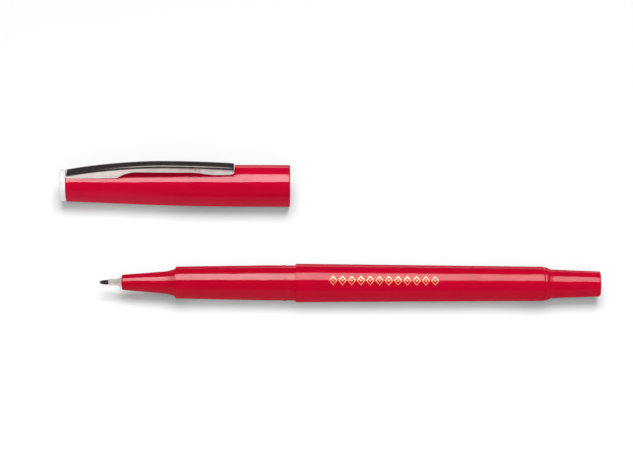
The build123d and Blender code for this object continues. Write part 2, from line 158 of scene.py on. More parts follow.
class PenStage(bpy.types.PropertyGroup):
    """Camera, lamps and table top."""

    camera_angle: angle("Viewing angle", "Angle of the camera above the table", 48)
    camera_roll: angle("Camera roll", "Turn of the camera about its own axis", 0.2)
    camera_lens: FloatProperty(
        name="Lens", description="Focal length on a 36 mm sensor", default=156.1, unit="CAMERA"
    )
    camera_aside: length("Camera aside", "From the middle to the camera, towards the pen's tip", 0.002435)
    camera_back: length("Camera back", "From the middle to the camera, towards the viewer", 0.47661)
    camera_height: length("Camera height", "Height of the camera over the table", 0.53298)
    softbox_height: length("Softbox height", "Height of the softbox over the table", 2.0)
    softbox_width: length("Softbox width", "Width of the softbox along the pen", 1.5)
    softbox_depth: length("Softbox depth", "Depth of the softbox across the pen", 1.5)
    softbox_aside: length("Softbox aside", "From the middle to the softbox, towards the pen's tail", 0.1)
    softbox_back: length("Softbox back", "From the middle to the softbox, away from the camera", 0.175)
    softbox_power: power("Softbox power", "Power of the softbox", 37.0)
    gloss_width: length("Highlight width", "Width of the highlight lamp along the pen", 4.8)
    gloss_depth: length("Highlight depth", "Depth of the highlight lamp across the pen", 1.62)
    gloss_to_tip: length("Bright to the tip", "Reach of the lamp's bright part towards the tip", 1.16)
    gloss_to_tail: length("Bright to the tail", "Reach of the lamp's bright part towards the tail", 0.463)
    gloss_ends: share("Lamp ends", "Light at the highlight lamp's ends, as a share of its bright part's", 0.6)
    gloss_power: power("Highlight power", "Power of the overhead lamp that lights highlights alone", 790.0)
    rim_width: length("Rim width", "Width of the low lamp behind the pen", 5.0)
    rim_height: length("Rim height", "Height of the low lamp behind the pen", 0.38)
    rim_distance: length("Rim distance", "From the middle to the low lamp behind the pen", 1.9)
    rim_power: power("Rim power", "Power of the low lamp that lights highlights alone", 40.0)
    fill_size: length("Fill size", "Side of the fill by the camera", 0.6)
    fill_distance: length("Fill distance", "From the fill to the middle", 0.89)
    fill_power: power("Fill power", "Power of the fill by the camera", 3.2)
    floor_white: colour("Floor", "Colour of the table top", (0.93, 0.93, 0.93))


def sizes():
    """The sizes that the scene holds."""
    return bpy.context.scene.pen_sizes


def finishes():
    """The colours that the scene holds."""
    return bpy.context.scene.pen_finishes


# Meshes, made in millimetres

# Corners closer than this are one
SAME_CORNER = 0.0005
# Edges that turn by more than this stay sharp
SHARP_ANGLE = math.radians(40)


def finished(name, bm, place, body, slot, *nodes):
    """Puts a mesh in its place as a piece that rides on a body and stands for CAD nodes."""
    bmesh.ops.transform(bm, matrix=place, verts=bm.verts[:])
    mesh = bpy.data.meshes.new(name)
    bm.to_mesh(mesh)
    bm.free()
    mesh.shade_smooth()
    mesh.set_sharp_from_angle(angle=SHARP_ANGLE)
    piece = bpy.data.objects.new(name, mesh)
    bpy.context.scene.collection.objects.link(piece)
    normals = piece.modifiers.new("even_normals", "WEIGHTED_NORMAL")
    normals.keep_sharp = True
    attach(piece, body)
    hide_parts(*nodes)
    return piece


def bevelled(bm, geom, offset, affect, steps):
    """Rounds edges or corners."""
    bmesh.ops.bevel(
        bm,
        geom=geom,
        offset=offset,
        offset_type="OFFSET",
        affect=affect,
        segments=steps,
        profile=0.5,
        material=-1,
    )


def rounded(bm, verts, corners):
    """Rounds the corners of an outline that have a round, in as many steps as they say."""
    for vert, (_, _, *bend) in zip(verts, corners):
        if bend and bend[0]:
            offset, steps = bend if len(bend) == 2 else (bend[0], sizes().round_steps)
            bevelled(bm, [vert], offset, "VERTICES", steps)


def turned(corners):
    """A shape turned about X from corners of station, radius and, where there is one, round and its steps."""
    bm = bmesh.new()
    verts = [bm.verts.new((corner[0], 0, corner[1])) for corner in corners]
    hollow = all(corner[1] > 0 for corner in corners)
    followers = verts[1:] + verts[:1] if hollow else verts[1:]
    for vert, follower in zip(verts, followers):
        bm.edges.new((vert, follower))
    rounded(bm, verts, corners)
    bmesh.ops.spin(
        bm,
        geom=bm.verts[:] + bm.edges[:],
        cent=(0, 0, 0),
        axis=(1, 0, 0),
        dvec=(0, 0, 0),
        angle=2 * math.pi,
        steps=sizes().turn_steps,
        use_merge=True,
        use_normal_flip=False,
        use_duplicate=False,
    )
    bmesh.ops.remove_doubles(bm, verts=bm.verts[:], dist=SAME_CORNER)
    bmesh.ops.recalc_face_normals(bm, faces=bm.faces[:])
    return bm


def block(size, centre):
    """A plain block."""
    bm = bmesh.new()
    bmesh.ops.create_cube(bm, size=1)
    bmesh.ops.scale(bm, vec=size, verts=bm.verts[:])
    bmesh.ops.translate(bm, vec=centre, verts=bm.verts[:])
    return bm


def joined(bm, other):
    """Adds the faces of another mesh to this one."""
    mesh = bpy.data.meshes.new("joined")
    other.to_mesh(mesh)
    other.free()
    bm.from_mesh(mesh)
    bpy.data.meshes.remove(mesh)
    return bm


def cut(bm, cutter):
    """Takes one closed shape away from another."""
    objects = []
    for name, shape in (("kept", bm), ("cutter", cutter)):
        mesh = bpy.data.meshes.new(name)
        shape.to_mesh(mesh)
        shape.free()
        made = bpy.data.objects.new(name, mesh)
        bpy.context.scene.collection.objects.link(made)
        objects.append(made)
    kept, tool = objects
    modifier = kept.modifiers.new("cut", "BOOLEAN")
    modifier.operation = "DIFFERENCE"
    modifier.solver = "EXACT"
    modifier.object = tool
    result = bmesh.new()
    result.from_object(kept, bpy.context.evaluated_depsgraph_get())
    for made in objects:
        mesh = made.data
        bpy.data.objects.remove(made)
        bpy.data.meshes.remove(mesh)
    return result


# Nodes

# Places of the colours among the Mix node's sockets
FIRST_COLOUR = 6
SECOND_COLOUR = 7
MIXED_COLOUR = 2


def put(tree, socket, value):
    """Gives a socket a value, or links another socket to it."""
    if isinstance(value, bpy.types.NodeSocket):
        tree.links.new(value, socket)
    else:
        socket.default_value = value


def node(tree, kind, inputs=None, **settings):
    """Adds a node with its settings and its inputs, which are named or counted."""
    made = tree.nodes.new(kind)
    for key, value in settings.items():
        setattr(made, key, value)
    for key, value in (inputs or {}).items():
        put(tree, made.inputs[key], value)
    return made


def calc(tree, operation, *values):
    """One step of arithmetic."""
    return node(tree, "ShaderNodeMath", dict(enumerate(values)), operation=operation).outputs[0]


def remap(tree, value, low, high, to_low=0.0, to_high=1.0):
    """A value spread from one range to another, and kept inside it."""
    inputs = {"Value": value, "From Min": low, "From Max": high, "To Min": to_low, "To Max": to_high}
    return node(tree, "ShaderNodeMapRange", inputs, clamp=True).outputs["Result"]


def noise(tree, vector, scale, detail=2.0):
    """Soft noise over a vector."""
    inputs = {"Vector": vector, "Scale": scale, "Detail": detail}
    return node(tree, "ShaderNodeTexNoise", inputs).outputs["Fac"]


def streaks(tree, vector, scales, detail=2.0):
    """Noise with a scale of its own along each axis."""
    stretched = node(tree, "ShaderNodeMapping", {"Vector": vector, "Scale": scales}).outputs["Vector"]
    return noise(tree, stretched, 1.0, detail)


def mixed(tree, factor, first, second, blend="MIX"):
    """A colour between two others, or the first changed by the second."""
    inputs = {"Factor": factor, FIRST_COLOUR: first, SECOND_COLOUR: second}
    return node(tree, "ShaderNodeMix", inputs, data_type="RGBA", blend_type=blend).outputs[MIXED_COLOUR]


def new_group(name, inputs, outputs):
    """An empty node group with its sockets, and its input and output nodes."""
    tree = bpy.data.node_groups.new(name, "ShaderNodeTree")
    for label, kind, default in inputs:
        socket = tree.interface.new_socket(name=label, in_out="INPUT", socket_type=kind)
        if default is not None:
            socket.default_value = default
    for label, kind in outputs:
        tree.interface.new_socket(name=label, in_out="OUTPUT", socket_type=kind)
    return tree, tree.nodes.new("NodeGroupInput"), tree.nodes.new("NodeGroupOutput")


def emptied(holder):
    """The node tree of a material, a lamp or a world, with nothing in it."""
    holder.use_nodes = True
    holder.node_tree.nodes.clear()
    return holder.node_tree


# Finishes

# Weight and roughness of the glossy skin on each plastic
BARREL_COAT = (0.137, 0.07)
GRIP_COAT = (0.19, 0.04)
TAIL_COAT = (0.135, 0.07)
CAP_COAT = (0.205, 0.04)
CROWN_COAT = (0.4, 0.2)
LINER_COAT = (0.3, 0.35)
FILM_COAT = (0.6, 0.15)
# Roughness of the metals, and how far they are pure metal
COLLAR_ROUGHNESS = 0.28
COLLAR_PURITY = 0.45
CLIP_ROUGHNESS = 0.1
CLIP_PURITY = 1.0
# How many times lighter dry fibre is, and the strength of its bump with its depth in metres
TIP_DRYNESS = 3.0
TIP_BUMP = (0.4, 0.00004)
TIP_IOR = 1.4
RESERVOIR_DRYNESS = 2.5
RESERVOIR_BUMP = (0.5, 0.0001)


def moulded_skin():
    """Moulded plastic: cloudy colour, a fine skin and hair scratches along X."""
    name = "moulded_skin"
    if name in bpy.data.node_groups:
        return bpy.data.node_groups[name]
    tree, start, end = new_group(
        name,
        [
            ("Coords", "NodeSocketVector", None),
            ("Colour", "NodeSocketColor", (0.5, 0.5, 0.5, 1)),
            ("Deep Colour", "NodeSocketColor", (0.4, 0.4, 0.4, 1)),
            ("Roughness", "NodeSocketFloat", 0.2),
            ("Scratches", "NodeSocketFloat", 0.1),
            ("Gloss", "NodeSocketFloat", 0.3),
        ],
        [
            ("Colour", "NodeSocketColor"),
            ("Roughness", "NodeSocketFloat"),
            ("Gloss", "NodeSocketFloat"),
            ("Height", "NodeSocketFloat"),
        ],
    )
    cloud_scale = 240.0
    cloud_range = (0.35, 0.65)
    skin_scale = 2600.0
    hair_scales = (45.0, 2600.0, 2600.0)
    hair_range = (0.60, 0.72)
    roughness_swing = 0.06
    gloss_swing = 0.2
    hair_dulling = 0.25
    hair_depth = 0.4
    have = start.outputs
    cloud = noise(tree, have["Coords"], cloud_scale, detail=3.0)
    skin = noise(tree, have["Coords"], skin_scale)
    hair = remap(tree, streaks(tree, have["Coords"], hair_scales), *hair_range)
    tint = mixed(tree, remap(tree, cloud, *cloud_range), have["Deep Colour"], have["Colour"])
    shift = calc(tree, "MULTIPLY_ADD", cloud, roughness_swing, -roughness_swing / 2)
    scratched = calc(tree, "MULTIPLY_ADD", hair, have["Scratches"], shift)
    clouded = calc(tree, "MULTIPLY_ADD", cloud, gloss_swing, 1 - gloss_swing / 2)
    worn = calc(tree, "MULTIPLY_ADD", hair, -hair_dulling, clouded)
    put(tree, end.inputs["Colour"], tint)
    put(tree, end.inputs["Roughness"], calc(tree, "ADD", have["Roughness"], scratched))
    put(tree, end.inputs["Gloss"], calc(tree, "MULTIPLY", have["Gloss"], worn))
    put(tree, end.inputs["Height"], calc(tree, "MULTIPLY_ADD", hair, -hair_depth, skin))
    return tree


def foil_lozenges():
    """A row of gold lozenges with a dot in each, a little worn, along the pen's barrel."""
    name = "foil_lozenges"
    if name in bpy.data.node_groups:
        return bpy.data.node_groups[name]
    tree, start, end = new_group(
        name,
        [
            ("Coords", "NodeSocketVector", None),
            ("Axis Y", "NodeSocketFloat", 0.0),
            ("Axis Z", "NodeSocketFloat", 0.0),
            ("Start", "NodeSocketFloat", 0.0),
            ("Pitch", "NodeSocketFloat", 0.002),
            ("Count", "NodeSocketFloat", 12.0),
            ("Turn", "NodeSocketFloat", 1.0),
            ("Radius", "NodeSocketFloat", 0.005),
            ("Half Height", "NodeSocketFloat", 0.001),
        ],
        [("Mask", "NodeSocketFloat")],
    )
    # Growth per pitch along the pen, and the places of stroke and dot, where 1 is half of a lozenge's height
    narrowing = 2.3
    stroke_place = 0.88
    stroke_half = 0.075
    dot_reach = 0.2
    wear_scale = 3000.0
    wear_range = (0.28, 0.42)
    worn_part = 0.35
    have = start.outputs
    place = node(tree, "ShaderNodeSeparateXYZ", {0: have["Coords"]}).outputs
    across = calc(tree, "SUBTRACT", have["Axis Y"], place["Y"])
    up = calc(tree, "SUBTRACT", place["Z"], have["Axis Z"])
    turn = calc(tree, "SUBTRACT", calc(tree, "ARCTAN2", up, across), have["Turn"])
    rise = calc(tree, "DIVIDE", calc(tree, "MULTIPLY", turn, have["Radius"]), have["Half Height"])
    run = calc(tree, "DIVIDE", calc(tree, "SUBTRACT", place["X"], have["Start"]), have["Pitch"])
    aside = calc(tree, "ABSOLUTE", calc(tree, "SUBTRACT", calc(tree, "FRACT", run), 0.5))
    shape = calc(tree, "ADD", calc(tree, "MULTIPLY", aside, narrowing), calc(tree, "ABSOLUTE", rise))
    stroke = calc(tree, "COMPARE", shape, stroke_place, stroke_half)
    dot = calc(tree, "LESS_THAN", shape, dot_reach)
    begun = calc(tree, "GREATER_THAN", run, 0.0)
    within = calc(tree, "MULTIPLY", begun, calc(tree, "LESS_THAN", run, have["Count"]))
    whole = calc(tree, "MULTIPLY", calc(tree, "MAXIMUM", stroke, dot), within)
    wear = noise(tree, have["Coords"], wear_scale, detail=3.0)
    wear = remap(tree, wear, *wear_range, worn_part, 1.0)
    put(tree, end.inputs["Mask"], calc(tree, "MULTIPLY", whole, wear))
    return tree


def drawn_metal():
    """Plated or polished sheet: faint drawing lines along X, with smudges."""
    name = "drawn_metal"
    if name in bpy.data.node_groups:
        return bpy.data.node_groups[name]
    tree, start, end = new_group(
        name,
        [
            ("Coords", "NodeSocketVector", None),
            ("Colour", "NodeSocketColor", (0.7, 0.7, 0.7, 1)),
            ("Roughness", "NodeSocketFloat", 0.1),
        ],
        [("Colour", "NodeSocketColor"), ("Roughness", "NodeSocketFloat"), ("Height", "NodeSocketFloat")],
    )
    line_scales = (120.0, 9000.0, 9000.0)
    line_roughness = 0.06
    smudge_scale = 420.0
    smudge_range = (0.35, 0.7)
    smudge_tint = (0.86, 0.86, 0.86, 1)
    smudge_roughness = 0.10
    have = start.outputs
    lines = streaks(tree, have["Coords"], line_scales, detail=3.0)
    smudge = noise(tree, have["Coords"], smudge_scale, detail=3.0)
    dim = mixed(tree, 1.0, have["Colour"], smudge_tint, "MULTIPLY")
    tint = mixed(tree, remap(tree, smudge, *smudge_range), have["Colour"], dim)
    rough = calc(tree, "MULTIPLY_ADD", smudge, smudge_roughness, have["Roughness"])
    put(tree, end.inputs["Colour"], tint)
    put(tree, end.inputs["Roughness"], calc(tree, "MULTIPLY_ADD", lines, line_roughness, rough))
    put(tree, end.inputs["Height"], lines)
    return tree


def packed_fibre():
    """Fibre rod: strands along X, soaked unevenly."""
    name = "packed_fibre"
    if name in bpy.data.node_groups:
        return bpy.data.node_groups[name]
    tree, start, end = new_group(
        name,
        [
            ("Coords", "NodeSocketVector", None),
            ("Colour", "NodeSocketColor", (0.05, 0.05, 0.05, 1)),
            ("Dry Colour", "NodeSocketColor", (0.2, 0.2, 0.2, 1)),
        ],
        [("Colour", "NodeSocketColor"), ("Roughness", "NodeSocketFloat"), ("Height", "NodeSocketFloat")],
    )
    strand_scales = (500.0, 8000.0, 8000.0)
    strand_range = (0.45, 0.75)
    soak_scale = 900.0
    soak_range = (0.3, 0.8)
    rough_range = (0.2, 0.8)
    roughness = (0.55, 0.9)
    have = start.outputs
    strands = streaks(tree, have["Coords"], strand_scales, detail=3.0)
    soak = noise(tree, have["Coords"], soak_scale)
    dry = calc(tree, "MULTIPLY", remap(tree, strands, *strand_range), remap(tree, soak, *soak_range))
    put(tree, end.inputs["Colour"], mixed(tree, dry, have["Colour"], have["Dry Colour"]))
    put(tree, end.inputs["Roughness"], remap(tree, strands, *rough_range, *roughness))
    put(tree, end.inputs["Height"], strands)
    return tree


def material(name, group, inputs, bump, **constants):
    """A Principled material: what varies comes from a group, and constants go straight to its sockets.

    The bump is a strength and a depth in metres.
    """
    made = bpy.data.materials.new(name)
    tree = emptied(made)
    coords = node(tree, "ShaderNodeTexCoord").outputs["Object"]
    effect = node(tree, "ShaderNodeGroup", node_tree=group, name="effect")
    put(tree, effect.inputs["Coords"], coords)
    for key, value in inputs.items():
        put(tree, effect.inputs[key], value)
    shader = node(tree, "ShaderNodeBsdfPrincipled", name="shader")
    for key, value in constants.items():
        shader.inputs[key.replace("_", " ")].default_value = value
    strength, depth = bump
    height = effect.outputs["Height"]
    relief = node(tree, "ShaderNodeBump", {"Strength": strength, "Distance": depth, "Height": height})
    put(tree, shader.inputs["Base Color"], effect.outputs["Colour"])
    put(tree, shader.inputs["Roughness"], effect.outputs["Roughness"])
    if "Gloss" in effect.outputs:
        put(tree, shader.inputs["Coat Weight"], effect.outputs["Gloss"])
    put(tree, shader.inputs["Normal"], relief.outputs["Normal"])
    node(tree, "ShaderNodeOutputMaterial", {"Surface": shader.outputs["BSDF"]})
    return made


def rgba(rgb, factor=1.0):
    """A colour with its alpha, made darker or lighter by a factor."""
    return (*(channel * factor for channel in rgb), 1.0)


def plastic(name, rgb, coat):
    """A moulded plastic under a glossy skin, given as its weight and its roughness."""
    weight, coat_roughness = coat
    deepening = 0.93
    inputs = {
        "Colour": rgba(rgb),
        "Deep Colour": rgba(rgb, deepening),
        "Roughness": 0.5,
        "Scratches": 0.08,
        "Gloss": weight,
    }
    bump = (0.02, 0.00002)
    shine = {"Specular_IOR_Level": 0.0, "Coat_Roughness": coat_roughness, "Coat_IOR": 1.5}
    return material(name, moulded_skin(), inputs, bump, **shine)


def foiled(made, rgb, radius):
    """Lays gold lozenges on a plastic that is turned to a radius."""
    metallic = 0.15
    polish = 0.2
    tree = made.node_tree
    shader = tree.nodes["shader"]
    effect = tree.nodes["effect"]
    own = sizes()
    inputs = {
        "Coords": node(tree, "ShaderNodeTexCoord").outputs["Object"],
        "Axis Y": SHOULDER.y,
        "Axis Z": SHOULDER.z,
        "Start": SHOULDER.x + own.foil_start,
        "Pitch": own.foil_pitch,
        "Count": float(own.foil_count),
        "Turn": own.foil_turn,
        "Radius": radius,
        "Half Height": own.foil_height / 2,
    }
    motif = node(tree, "ShaderNodeGroup", node_tree=foil_lozenges())
    for key, value in inputs.items():
        put(tree, motif.inputs[key], value)
    mask = motif.outputs["Mask"]
    rough = calc(tree, "MULTIPLY_ADD", mask, -polish, effect.outputs["Roughness"])
    put(tree, shader.inputs["Base Color"], mixed(tree, mask, effect.outputs["Colour"], rgba(rgb)))
    put(tree, shader.inputs["Metallic"], calc(tree, "MULTIPLY", mask, metallic))
    put(tree, shader.inputs["Roughness"], rough)
    return made


def metal(name, rgb, roughness, purity):
    """A plated or polished metal, less pure where it is dull."""
    inputs = {"Colour": rgba(rgb), "Roughness": roughness}
    bump = (0.06, 0.00001)
    return material(name, drawn_metal(), inputs, bump, Metallic=purity)


def fibre(name, rgb, dryness, bump, **constants):
    """A fibre rod whose dry strands are lighter by a factor."""
    inputs = {"Colour": rgba(rgb), "Dry Colour": rgba(rgb, dryness)}
    return material(name, packed_fibre(), inputs, bump, **constants)


def dressed(piece, finish):
    """Gives a piece or a CAD node its material."""
    piece.data.materials.clear()
    piece.data.materials.append(finish)


def glossy_pieces():
    """The pieces of red plastic, which the two lamps for highlights are kept to."""
    name = "glossy_pieces"
    if name not in bpy.data.collections:
        bpy.data.collections.new(name)
    return bpy.data.collections[name]


def glossy(piece):
    """Counts a piece among the glossy ones, and keeps its red off the table's shadow."""
    glossy_pieces().objects.link(piece)
    piece.visible_diffuse = False


# Barrel, in millimetres: stations from the shoulder, and radii

BARREL_LENGTH = 63.4
BARREL_FRONT_RADIUS = 4.919
BARREL_REAR_RADIUS = 4.375
BARREL_BORE_RADIUS = 3.57
SOCKET_RADIUS = 3.79
SOCKET_DEPTH = 10.2
FOIL_RADIUS = 4.85


class PEN_OT_barrel(bpy.types.Operator):
    """Turns the tapering barrel with its rounded ends"""

    bl_idname = "pen.make_barrel"
    bl_label = "Barrel"

    def execute(self, context):
        own = sizes()
        corners = [
            (0, SOCKET_RADIUS),
            (0, BARREL_FRONT_RADIUS, own.barrel_front_round / MM),
            (BARREL_LENGTH, BARREL_REAR_RADIUS, own.barrel_rear_round / MM),
            (BARREL_LENGTH, BARREL_BORE_RADIUS),
            (SOCKET_DEPTH, BARREL_BORE_RADIUS),
            (SOCKET_DEPTH, SOCKET_RADIUS),
        ]
        piece = finished("barrel_tube", turned(corners), ALONG_PEN, "pen", "barrel_red", "barrel")
        red = plastic("barrel_red", finishes().barrel_red, BARREL_COAT)
        dressed(piece, foiled(red, finishes().foil_gold, FOIL_RADIUS * MM))
        glossy(piece)
        return {"FINISHED"}


# Grip section, in millimetres: stations from the shoulder, negative towards the tip, and radii

NOSE_FRONT = -44.3
NOSE_FRONT_RADIUS = 1.95
NOSE_BORE_RADIUS = 1.07
NOSE_BORE_END = -31.6
FLARE_START = -32.027
FLARE_START_RADIUS = 2.925
FLARE_ROUND = (1.55, 14)
GRIP_STEP = -30.6
GRIP_STEP_INNER_RADIUS = 3.6
GRIP_STEP_OUTER_RADIUS = 4.075
SEAT_START = -8.0
SEAT_RADIUS = 4.48
SEAT_ROUND = 0.6
RIDGE_START = -3.3
RIDGE_TOP = -2.8
RIDGE_END = -2.3
RIDGE_RADIUS = 4.6
RIDGE_ROUND = 0.15
SPIGOT_RADIUS = 3.77
SPIGOT_LENGTH = 10
GRIP_BORE_RADIUS = 3.27
GRIP_BORE_START = -28.6


class PEN_OT_grip(bpy.types.Operator):
    """Turns the grip section: nose, flare, step, taper, cap seat and snap ridge"""

    bl_idname = "pen.make_grip"
    bl_label = "Grip section"

    def execute(self, context):
        own = sizes()
        corners = [
            (NOSE_FRONT, NOSE_BORE_RADIUS),
            (NOSE_FRONT, NOSE_FRONT_RADIUS, own.nose_round / MM),
            (FLARE_START, FLARE_START_RADIUS, *FLARE_ROUND),
            (GRIP_STEP, GRIP_STEP_INNER_RADIUS),
            (GRIP_STEP, GRIP_STEP_OUTER_RADIUS, own.step_round / MM),
            (SEAT_START, SEAT_RADIUS, SEAT_ROUND),
            (RIDGE_START, SEAT_RADIUS),
            (RIDGE_TOP, RIDGE_RADIUS, RIDGE_ROUND),
            (RIDGE_END, SEAT_RADIUS),
            (0, SEAT_RADIUS),
            (0, SPIGOT_RADIUS),
            (SPIGOT_LENGTH, SPIGOT_RADIUS),
            (SPIGOT_LENGTH, GRIP_BORE_RADIUS),
            (GRIP_BORE_START, GRIP_BORE_RADIUS),
            (NOSE_BORE_END, NOSE_BORE_RADIUS),
        ]
        piece = finished("grip_body", turned(corners), ALONG_PEN, "pen", "gloss_red", "grip_section")
        dressed(piece, plastic("grip_red", finishes().grip_red, GRIP_COAT))
        glossy(piece)
        return {"FINISHED"}


# Tail plug, in millimetres: stations from the shoulder, and radii

TAIL_END = 77.699
TAIL_END_RADIUS = 3.2
TAIL_END_STEPS = 8
TAIL_FLARE = 64.95
TAIL_FLARE_RADIUS = 3.678
TAIL_FLARE_ROUND = (0.5, 8)
BEAD_REAR = 63.98
BEAD_RADIUS = 4.2
BEAD_REAR_ROUND = 0.08
BEAD_FRONT_ROUND = 0.06
PLUG_FRONT = 56.4
PLUG_RADIUS = 3.55
PLUG_BORE_RADIUS = 2.29
PLUG_BORE_END = 76.2


class PEN_OT_tail(bpy.types.Operator):
    """Turns the tail plug with its bead and flare"""

    bl_idname = "pen.make_tail"
    bl_label = "Tail plug"

    def execute(self, context):
        corners = [
            (TAIL_END, 0),
            (TAIL_END, TAIL_END_RADIUS, sizes().tail_round / MM, TAIL_END_STEPS),
            (TAIL_FLARE, TAIL_FLARE_RADIUS, *TAIL_FLARE_ROUND),
            (BEAD_REAR, BEAD_RADIUS, BEAD_REAR_ROUND),
            (BARREL_LENGTH, BEAD_RADIUS, BEAD_FRONT_ROUND),
            (BARREL_LENGTH, PLUG_RADIUS),
            (PLUG_FRONT, PLUG_RADIUS),
            (PLUG_FRONT, PLUG_BORE_RADIUS),
            (PLUG_BORE_END, PLUG_BORE_RADIUS),
            (PLUG_BORE_END, 0),
        ]
        piece = finished("tail_stopper", turned(corners), ALONG_PEN, "pen", "barrel_red", "tail_plug")
        dressed(piece, plastic("tail_red", finishes().barrel_red, TAIL_COAT))
        glossy(piece)
        return {"FINISHED"}


# Tip and collar, in millimetres: stations from the shoulder, negative towards the tip, and radii

COLLAR_FRONT = -47.7
COLLAR_BORE_RADIUS = 0.62
COLLAR_RADIUS = 0.81
COLLAR_FRONT_ROUND = 0.09
COLLAR_FLARE = -45.166
COLLAR_FLARE_ROUND = (0.53, 8)
FLANGE_FRONT = -44.8
FLANGE_RADIUS = 1.2
FLANGE_ROUND = 0.12
COLLAR_SEAT_RADIUS = 1.05
COLLAR_END = -38.3
FIBRE_FRONT = -49.9
FIBRE_FRONT_RADIUS = 0.25
FIBRE_FRONT_ROUND = (0.13, 5)
FIBRE_TAPER_END = -49.138
FIBRE_TAPER_ROUND = (0.7, 10)
FIBRE_RADIUS = 0.6
FIBRE_END = -21.4


class PEN_OT_writing_end(bpy.types.Operator):
    """Turns the fibre tip and the metal collar round it"""

    bl_idname = "pen.make_writing_end"
    bl_label = "Tip and collar"

    def execute(self, context):
        own = finishes()
        collar = [
            (COLLAR_FRONT, COLLAR_BORE_RADIUS),
            (COLLAR_FRONT, COLLAR_RADIUS, COLLAR_FRONT_ROUND),
            (COLLAR_FLARE, COLLAR_RADIUS, *COLLAR_FLARE_ROUND),
            (FLANGE_FRONT, FLANGE_RADIUS, FLANGE_ROUND),
            (NOSE_FRONT, FLANGE_RADIUS),
            (NOSE_FRONT, COLLAR_SEAT_RADIUS),
            (COLLAR_END, COLLAR_SEAT_RADIUS),
            (COLLAR_END, COLLAR_BORE_RADIUS),
        ]
        piece = finished("tip_tube", turned(collar), ALONG_PEN, "pen", "collar_metal", "tip_collar")
        dressed(piece, metal("collar_metal", own.collar_metal, COLLAR_ROUGHNESS, COLLAR_PURITY))
        rod = [
            (FIBRE_FRONT, 0),
            (FIBRE_FRONT, FIBRE_FRONT_RADIUS, *FIBRE_FRONT_ROUND),
            (FIBRE_TAPER_END, FIBRE_RADIUS, *FIBRE_TAPER_ROUND),
            (FIBRE_END, FIBRE_RADIUS),
            (FIBRE_END, 0),
        ]
        piece = finished("writing_fibre", turned(rod), ALONG_PEN, "pen", "tip_fibre", "fibre_tip")
        dressed(piece, fibre("tip_felt", own.tip_felt, TIP_DRYNESS, TIP_BUMP, IOR=TIP_IOR))
        return {"FINISHED"}


# Cap and crown, in millimetres: stations from the mouth, and radii

CAP_RADIUS = 5.498
CAP_TAPER_START = 27
CAP_TAPER_ROUND = (12.9, 32)
CAP_LENGTH = 58.8
CAP_END_RADIUS = 4.275
CAP_BORE_RADIUS = 4.53
CAP_BORE_END = 20
CAP_MOUTH_BREAK = 0.2
GROOVE_START = 2.25
GROOVE_MIDDLE = 2.8
GROOVE_END = 3.35
GROOVE_RADIUS = 4.69
GROOVE_ROUND = 0.5
LINER_SEAT = 31.8
LINER_SEAT_RADIUS = 4.2
LINER_BORE_RADIUS = 3.67
STEM_HOLE_START = 54.2
STEM_HOLE_RADIUS = 2.52
EYE_RECESS_FLOOR = 57.75
EYE_RECESS_RADIUS = 3.55
NOTCH_DEPTH = 1.05
NOTCH_WIDTH = 2.8
NOTCH_HEIGHT = 4.0
NOTCH_MIDDLE = 5.0
CROWN_END = 60.529
CROWN_RADIUS = 4.15
CROWN_SEAT = 58.85
CROWN_SEAT_ROUND = 0.06
STEM_RADIUS = 2.5
STEM_END = 54.65
STEM_ROUND = 0.3


class PEN_OT_cap(bpy.types.Operator):
    """Turns the cap with its curved taper, its bore and the notch for the clip, and the white crown"""

    bl_idname = "pen.make_cap"
    bl_label = "Cap and crown"

    def execute(self, context):
        own = sizes()
        corners = [
            (0, CAP_BORE_RADIUS, CAP_MOUTH_BREAK),
            (0, CAP_RADIUS, own.cap_mouth_round / MM),
            (CAP_TAPER_START, CAP_RADIUS, *CAP_TAPER_ROUND),
            (CAP_LENGTH, CAP_END_RADIUS, own.cap_end_round / MM),
            (CAP_LENGTH, EYE_RECESS_RADIUS),
            (EYE_RECESS_FLOOR, EYE_RECESS_RADIUS),
            (EYE_RECESS_FLOOR, STEM_HOLE_RADIUS),
            (STEM_HOLE_START, STEM_HOLE_RADIUS),
            (STEM_HOLE_START, LINER_BORE_RADIUS),
            (LINER_SEAT, LINER_BORE_RADIUS),
            (LINER_SEAT, LINER_SEAT_RADIUS),
            (CAP_BORE_END, CAP_BORE_RADIUS),
            (GROOVE_END, CAP_BORE_RADIUS),
            (GROOVE_MIDDLE, GROOVE_RADIUS, GROOVE_ROUND),
            (GROOVE_START, CAP_BORE_RADIUS),
        ]
        notch = block((NOTCH_DEPTH * 2, NOTCH_WIDTH, NOTCH_HEIGHT), (CAP_LENGTH, 0, NOTCH_MIDDLE))
        shell = cut(turned(corners), notch)
        piece = finished("cap_body", shell, ALONG_CAP, "cap", "gloss_red", "cap_shell")
        dressed(piece, plastic("cap_red", finishes().cap_red, CAP_COAT))
        glossy(piece)
        crown = [
            (CROWN_END, 0),
            (CROWN_END, CROWN_RADIUS, own.crown_round / MM),
            (CROWN_SEAT, CROWN_RADIUS, CROWN_SEAT_ROUND),
            (CROWN_SEAT, STEM_RADIUS),
            (STEM_END, STEM_RADIUS, STEM_ROUND),
            (STEM_END, 0),
        ]
        piece = finished("crown_disc", turned(crown), ALONG_CAP, "cap", "white_plastic", "crown_plug")
        dressed(piece, plastic("crown_white", finishes().crown_white, CROWN_COAT))
        return {"FINISHED"}


# Clip, in millimetres: stations from its root, heights over the cap's axis, and rounds with their steps

